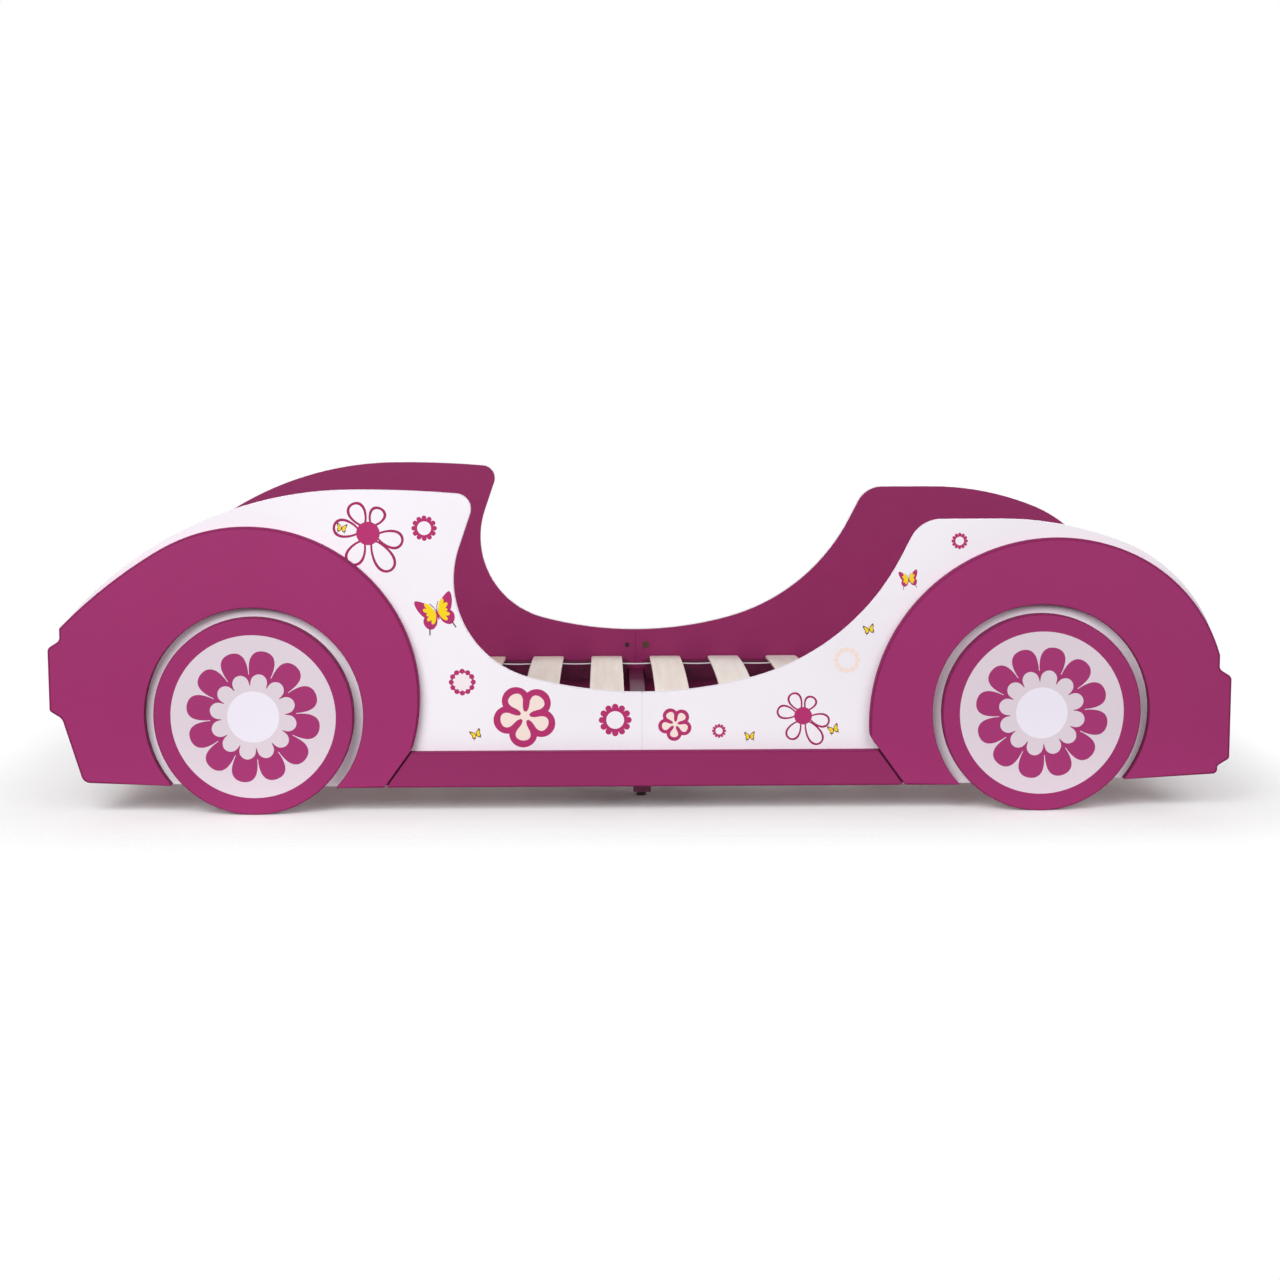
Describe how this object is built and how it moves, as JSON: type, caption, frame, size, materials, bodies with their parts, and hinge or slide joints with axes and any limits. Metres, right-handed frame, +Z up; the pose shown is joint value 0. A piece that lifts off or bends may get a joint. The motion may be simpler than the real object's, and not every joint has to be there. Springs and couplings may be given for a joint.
{
  "type": "kids bed",
  "caption": "Single bed for a child in the outline of a small car: seamed board sides with applied wheel arches, fixed wheel discs, sills, end boards and a roll-out slatted base.",
  "frame": {"origin": "on the floor, below the seam in the middle of the bed, at the centre of its length and width", "axes": "+X from the head end to the foot end, +Y from the right side to the left side, +Z up"},
  "size_m": [2.14, 0.994, 0.587],
  "materials": {
    "white_lacquer": "satin white lacquer on fibreboard outside and on the edges, satin magenta inside",
    "magenta_lacquer": "satin magenta lacquer on fibreboard",
    "birch_slat": "raw glued birch, sanded",
    "woven_tape": "plain woven white tape",
    "foot_plastic": "moulded, matt",
    "fitting_steel": "zinc plated",
    "cam_zinc": "die cast, dull",
    "beech_dowel": "raw beech, fluted"
  },
  "bodies": {
    "bed_frame": {"right_head_panel": "white_lacquer", "right_foot_panel": "white_lacquer", "left_head_panel": "white_lacquer", "left_foot_panel": "white_lacquer", "right_head_fender": "magenta_lacquer", "right_foot_fender": "magenta_lacquer", "left_head_fender": "magenta_lacquer", "left_foot_fender": "magenta_lacquer", "right_sill": "magenta_lacquer", "left_sill": "magenta_lacquer", "right_head_wheel": "magenta_lacquer", "right_foot_wheel": "magenta_lacquer", "left_head_wheel": "magenta_lacquer", "left_foot_wheel": "magenta_lacquer", "right_head_ledge": "magenta_lacquer", "right_foot_ledge": "magenta_lacquer", "left_head_ledge": "magenta_lacquer", "left_foot_ledge": "magenta_lacquer", "head_end_board": "magenta_lacquer", "foot_end_board": "magenta_lacquer", "centre_beam": "magenta_lacquer", "beam_feet": "foot_plastic", "cam_locks": "cam_zinc", "barrel_nuts": "fitting_steel", "seam_bolts": "fitting_steel", "end_board_bolts": "fitting_steel", "dowels": "beech_dowel"},
    "slatted_base": {"slat_01": "birch_slat", "slat_02": "birch_slat", "slat_03": "birch_slat", "slat_04": "birch_slat", "slat_05": "birch_slat", "slat_06": "birch_slat", "slat_07": "birch_slat", "slat_08": "birch_slat", "slat_09": "birch_slat", "slat_10": "birch_slat", "slat_11": "birch_slat", "slat_12": "birch_slat", "slat_13": "birch_slat", "slat_14": "birch_slat", "slat_15": "birch_slat", "slat_16": "birch_slat", "right_slat_tape": "woven_tape", "left_slat_tape": "woven_tape", "tape_staples": "fitting_steel"}
  },
  "joints": [
    {"name": "base_lift", "type": "slide", "parent": "bed_frame", "child": "slatted_base", "axis": [0, 0, 1], "range_m": [0, 0.45]}
  ]
}
